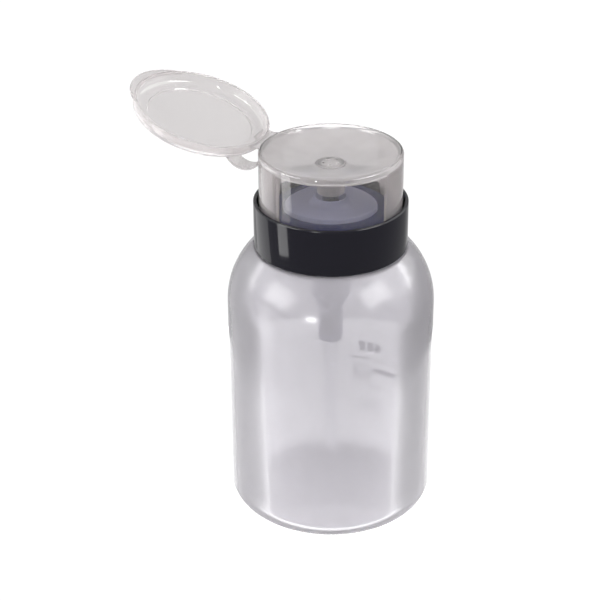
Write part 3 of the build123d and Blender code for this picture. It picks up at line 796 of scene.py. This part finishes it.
class DISPENSER_OT_lid(bpy.types.Operator):
    """Turns the flip lid, swings it open, and adds its thumb tab, hinge film and two retaining straps"""
    bl_idname = "dispenser.lid"
    bl_label = "Lid and hinge"

    def execute(self, context):
        s = sizes()
        radius, top = s.lid_radius / MM, LID_LOW + s.lid_height / MM
        inner, flat = radius - LID_WALL, radius - LID_CORNER
        ceiling = top - LID_WALL
        pan = outline(
            (0, top),
            arc((flat, top - LID_CORNER), LID_CORNER, 90, 0, 16),
            arc((radius - 0.3, LID_LOW + 0.3), 0.3, 0, -90, 4),
            arc((inner + 0.25, LID_LOW + 0.25), 0.25, 270, 180, 4),
            arc((flat, top - LID_CORNER), LID_CORNER - LID_WALL, 0, 90, 14),
            (LID_STEP_R, ceiling), (LID_STEP_R - LID_STEP, ceiling + LID_STEP), (0, ceiling + LID_STEP))
        clear = finish_of(lid_polypropylene)
        make_piece("flip_lid", swing_open(turned(pan, FINE_FACETS)), "lid", clear,
                   replaces=("lid",))
        tab = swing_open(tab_grid(radius, s.tab_reach / MM))
        make_piece("thumb_tab", tab, "lid", clear)
        film = make_piece("hinge_film", film_grid(radius), None, clear,
                          replaces=("hinge_web",))
        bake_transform(film)
        for side, node in ((-1, "strap_near"), (1, "strap_far")):
            path = strap_path(radius, top)
            strap = make_piece(f"retaining_{node}", strap_grid(path, side), None, clear,
                               replaces=(node,))
            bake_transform(strap)
        return {"FINISHED"}


def tab_grid(radius, reach):
    """The thumb tab: a crescent between the lid's wall and a smaller circle that stands out by reach.  At
    angle a from the tab's middle that circle's edge is at c cos a + sqrt(q^2 - c^2 sin^2 a), with q its
    radius and c its middle's distance from the lid's.  Its section is a strip with a round outer edge."""
    q = TAB_EDGE_R
    c = radius + reach - q
    widest = np.arccos((radius ** 2 + c ** 2 - q ** 2) / (2 * radius * c))
    a = np.linspace(-widest, widest, 60)[:, None]
    edge = c * np.cos(a) + np.sqrt(q ** 2 - (c * np.sin(a)) ** 2)
    root = radius - 0.4
    half = TAB_THICKNESS / 2
    round_edge = arc((0, 0), 1, -90, 90, 9) * half
    r = np.concatenate([root + 0 * a, edge - half + round_edge[:, 0], root + 0 * a], 1)
    z = np.concatenate([[0], half + round_edge[:, 1], [TAB_THICKNESS]]) + LID_LOW
    return capped(np.stack([r * np.cos(a), r * np.sin(a), z + 0 * a], -1))


def film_grid(radius):
    """The hinge film.  For each y across it, it runs from just inside the head's rim to just inside the open
    lid's edge, and it is thinnest half-way, where it folds: thickness = 0.5 - 0.25 sin^2(pi t)."""
    y = np.linspace(-FILM_HALF_WIDTH, FILM_HALF_WIDTH, 29)[:, None]
    head_x = -np.sqrt(HEAD_R ** 2 - y ** 2) + 0.25
    lid_edge = np.stack(np.broadcast_arrays(-np.sqrt(radius ** 2 - y ** 2) + 0.35, y, LID_LOW + 0.4), -1)
    lid_x, lid_z = swing_open(lid_edge)[..., 0], swing_open(lid_edge)[..., 2]
    t = np.linspace(0, 1, 17)
    x = head_x + (lid_x - head_x) * t
    z = HINGE_Z - 0.35 + (lid_z - HINGE_Z + 0.35) * t
    half_thick = 0.25 - 0.125 * np.sin(np.pi * t) ** 2
    top = np.stack([x, y + 0 * t, z + half_thick], -1)
    under = np.stack([x, y + 0 * t, z - half_thick], -1)[:, ::-1]
    return capped(np.concatenate([top, under], 1))


def strap_path(radius, top, steps=40):
    """The strap's middle line in the open position: the circle through a point on the head's side, the lowest
    point of its hang, and a point on the lid's underside."""
    a = np.array([0.5 - np.sqrt(HEAD_R ** 2 - STRAP_ROOT_Y ** 2), HEAD_TOP - STRAP_ROOT_DROP])
    c = swing_open(np.array([4.8 - radius, 0.0, top - 0.45]))[[0, 2]]
    b = np.array([(a[0] + c[0]) / 2 - 0.6, HEAD_TOP - STRAP_HANG])
    rows = 2 * np.array([b - a, c - a])
    centre = np.linalg.solve(rows, np.array([b @ b - a @ a, c @ c - a @ a]))
    from_middle = [np.arctan2(p[1] - centre[1], p[0] - centre[0]) for p in (a, b, c)]
    start, low, end = np.unwrap(from_middle)
    angle = np.linspace(start, end, steps)
    q = np.linalg.norm(a - centre)
    return np.stack([centre[0] + q * np.cos(angle), 0 * angle, centre[1] + q * np.sin(angle)], -1)


def strap_grid(path, side):
    """A flat band with rounded edges carried along the path: its section's long way is Y and its short way is
    square to the path.  It narrows a little at the middle: width = 6.4 - 0.6 sin(pi t)."""
    along = np.gradient(path, axis=0)
    along /= np.linalg.norm(along, axis=1, keepdims=True)
    across = np.array([0.0, 1.0, 0.0])
    normal = np.cross(across, along)
    t = np.linspace(0, 1, len(path))[:, None, None]
    half = STRAP_THICKNESS / 2
    section = rounded([(-0.5, -half), (0.5, -half), (0.5, half), (-0.5, half)], [0.06] * 4, 4)
    wide, thick = section[:, 0][None, :, None], section[:, 1][None, :, None]
    width = STRAP_WIDTH - 0.6 * np.sin(np.pi * t)
    return capped(path[:, None] + side * STRAP_Y * across + wide * width * across + thick * normal[:, None])


# ---- pieces kept as the frame has them
class DISPENSER_OT_small_parts(bpy.types.Operator):
    """Gives the gasket, cage, balls, stem, piston, seal and outlet cap their materials"""
    bl_idname = "dispenser.small_parts"
    bl_label = "Small pump parts"

    def execute(self, context):
        finishes = {
            "neck_gasket": foam_gasket, "ball_cage": natural_polypropylene, "inlet_ball": polished_steel,
            "outlet_ball": polished_steel, "stem": natural_polypropylene, "piston": natural_polypropylene,
            "piston_seal": seal_polyethylene, "outlet_cap": cloudy_polypropylene}
        for node, maker in finishes.items():
            for place in frame["nodes"][node].material_slots:
                place.material = finish_of(maker)
        return {"FINISHED"}


# ---- stage
class DISPENSER_OT_stage(bpy.types.Operator):
    """Lays the pale floor, hangs the soft lights and places the camera"""
    bl_idname = "dispenser.stage"
    bl_label = "Floor, lights and camera"

    def execute(self, context):
        make_floor()
        make_sky()
        view = view_directions()
        soft_light("left_strip", view, -75, -12, (0.2, 0.4), 0.7)
        soft_light("left_wall", view, -125, -10, (0.5, 0.6), 0.7)
        soft_light("left_fill", view, -104, 30, (0.9, 0.6), 1.6)
        soft_light("right_fill", view, 104, 30, (0.9, 0.6), 3.2)
        soft_light("left_box", view, -66, 24, (0.4, 0.3), 3.4)
        soft_light("right_box", view, 58, 30, (0.4, 0.3), 3.6)
        soft_light("front_box", view, -22, 8, (0.12, 0.06), 1.6)
        make_camera(view)
        scene = context.scene
        scene.view_settings.view_transform = "Standard"
        scene.cycles.transparent_max_bounces = 48
        scene.cycles.max_bounces = 24
        scene.cycles.transmission_bounces = 24
        return {"FINISHED"}


CAMERA_AZIMUTH, CAMERA_TILT, CAMERA_ROLL = 27.5, 27.72, -0.62
CAMERA_DISTANCE = 0.58134
CAMERA_LENS, CAMERA_SHIFT = 108.74, 0.022
AIM_RIGHT, AIM_HEIGHT = -0.01406, 0.07114
LIGHT_DISTANCE, LIGHT_AIM_HEIGHT = 0.7, 0.09
STAGE_R, STAGE_DROP = 0.12, 0.0002      # the floor lies a hair below the bottle's foot
ROOM_LEVEL, SEEN_LEVEL = 0.32, 1.05     # the world's light, and the plain white that the camera sees


def view_directions():
    """The camera's level right, its level forward and straight up."""
    a = np.radians(CAMERA_AZIMUTH)
    return (Vector((np.cos(a), np.sin(a), 0)), Vector((-np.sin(a), np.cos(a), 0)), Vector((0, 0, 1)))


def make_camera(view):
    right, level, up = view
    tilt, roll = np.radians(CAMERA_TILT), np.radians(CAMERA_ROLL)
    forward = level * np.cos(tilt) - up * np.sin(tilt)
    rise = right.cross(forward)
    x_axis = right * np.cos(roll) + rise * np.sin(roll)
    y_axis = rise * np.cos(roll) - right * np.sin(roll)
    place = right * AIM_RIGHT + up * AIM_HEIGHT - forward * CAMERA_DISTANCE
    data = bpy.data.cameras.new("camera")
    data.lens, data.sensor_width, data.shift_x = CAMERA_LENS, 36.0, CAMERA_SHIFT
    data.clip_start, data.clip_end = 0.01, 20.0
    camera = bpy.data.objects.new("camera", data)
    turn = Matrix((x_axis, y_axis, -forward)).transposed()
    camera.matrix_world = Matrix.Translation(place) @ turn.to_4x4()
    bpy.context.scene.collection.objects.link(camera)
    bpy.context.scene.camera = camera


def soft_light(name, view, turn, rise, size, power):
    """A flat soft box aimed at the object.  turn is its direction in degrees from the camera's, to the
    right, rise is its height in degrees, and size is its width and height in metres."""
    right, level, up = view
    a, e = np.radians(turn), np.radians(rise)
    away = (right * np.sin(a) - level * np.cos(a)) * np.cos(e) + up * np.sin(e)
    data = bpy.data.lights.new(name, "AREA")
    data.shape = "RECTANGLE"
    data.size, data.size_y, data.energy = *size, power
    lamp = bpy.data.objects.new(name, data)
    lamp.location = Vector((0, 0, LIGHT_AIM_HEIGHT)) + away * LIGHT_DISTANCE
    lamp.rotation_mode = "QUATERNION"
    lamp.rotation_quaternion = away.to_track_quat("Z", "Y")
    lamp.visible_camera = False
    bpy.context.scene.collection.objects.link(lamp)


def make_floor():
    """A round flat sheet of opal acrylic, matt and lit from below, so that it glows pale grey."""
    material, tree, place = new_material("lit_opal_acrylic")
    grain = add(tree, "ShaderNodeTexNoise", {"Vector": place, "Scale": per_metre(1.5), "Detail": 3.0})
    bump = add(tree, "ShaderNodeBump", {
        "Height": grain.outputs["Fac"], "Strength": 0.05, "Distance": 0.1 * MM})
    shader = add(tree, "ShaderNodeBsdfPrincipled", {
        "Base Color": rgba(linear("c8c8c8")), "Roughness": 0.9, "Normal": bump.outputs["Normal"],
        "Emission Color": rgba(linear("ffffff")), "Emission Strength": 0.8})
    surfaced(material, shader)
    a = np.linspace(0, 2 * np.pi, 96, endpoint=False)
    rim = np.stack([STAGE_R * np.cos(a), STAGE_R * np.sin(a), 0 * a - STAGE_DROP], -1)
    mesh = bpy.data.meshes.new("floor")
    mesh.from_pydata(rim.tolist(), [], [list(range(len(a)))])
    mesh.materials.append(material)
    floor = bpy.data.objects.new("floor", mesh)
    bpy.context.scene.collection.objects.link(floor)


def make_sky():
    """White light from above and from the wide backdrop behind, a dim room elsewhere, and a plain white
    background."""
    world = bpy.data.worlds.new("studio")
    bpy.context.scene.world = world
    world.use_nodes = True
    tree = world.node_tree
    tree.nodes.clear()
    a = np.radians(CAMERA_AZIMUTH)
    direction = add(tree, "ShaderNodeTexCoord").outputs["Generated"]
    levels = []
    brighter = (((-np.sin(a), np.cos(a), 0), 0.68, 0.9, 0.6), ((0, 0, 1), 0.05, 0.5, 0.56))
    for towards, low, high, bright in brighter:
        along = add(tree, "ShaderNodeVectorMath", {0: direction, 1: towards}, operation="DOT_PRODUCT")
        level = add(tree, "ShaderNodeMapRange", {
            "Value": along.outputs["Value"], "From Min": low, "From Max": high, "To Min": ROOM_LEVEL,
            "To Max": bright}, interpolation_type="SMOOTHSTEP")
        levels.append(level.outputs["Result"])
    strength = add(tree, "ShaderNodeMath", {0: levels[0], 1: levels[1]}, operation="MAXIMUM")
    white = rgba(linear("ffffff"))
    light = add(tree, "ShaderNodeBackground", {"Color": white, "Strength": strength.outputs[0]})
    plain = add(tree, "ShaderNodeBackground", {"Color": white, "Strength": SEEN_LEVEL})
    seen = add(tree, "ShaderNodeLightPath").outputs["Is Camera Ray"]
    mix = add(tree, "ShaderNodeMixShader", {0: seen, 1: light.outputs[0], 2: plain.outputs[0]})
    add(tree, "ShaderNodeOutputWorld", {"Surface": mix.outputs[0]})


# ---- add-on
OPERATORS = (
    DISPENSER_OT_bottle, DISPENSER_OT_print, DISPENSER_OT_collar, DISPENSER_OT_pump, DISPENSER_OT_head,
    DISPENSER_OT_lid, DISPENSER_OT_small_parts, DISPENSER_OT_stage)


class DISPENSER_PT_panel(bpy.types.Panel):
    """Lists the settings and the steps that build the dispenser"""
    bl_label = "Dispenser"
    bl_idname = "DISPENSER_PT_panel"
    bl_space_type = "VIEW_3D"
    bl_region_type = "UI"
    bl_category = "Dispenser"

    def draw(self, context):
        for group in (context.scene.dispenser_sizes, context.scene.dispenser_colours):
            box = self.layout.box()
            for name in group.bl_rna.properties.keys():
                if name not in ("rna_type", "name"):
                    box.prop(group, name)
        for operator in OPERATORS:
            self.layout.operator(operator.bl_idname)


CLASSES = (DispenserSizes, DispenserColours, *OPERATORS, DISPENSER_PT_panel)


def register():
    for cls in CLASSES:
        bpy.utils.register_class(cls)
    bpy.types.Scene.dispenser_sizes = PointerProperty(type=DispenserSizes)
    bpy.types.Scene.dispenser_colours = PointerProperty(type=DispenserColours)


def unregister():
    del bpy.types.Scene.dispenser_colours
    del bpy.types.Scene.dispenser_sizes
    for cls in reversed(CLASSES):
        bpy.utils.unregister_class(cls)


def main():
    register()
    for operator in OPERATORS:
        group, name = operator.bl_idname.split(".")
        getattr(getattr(bpy.ops, group), name)()


if __name__ == "__main__":
    main()
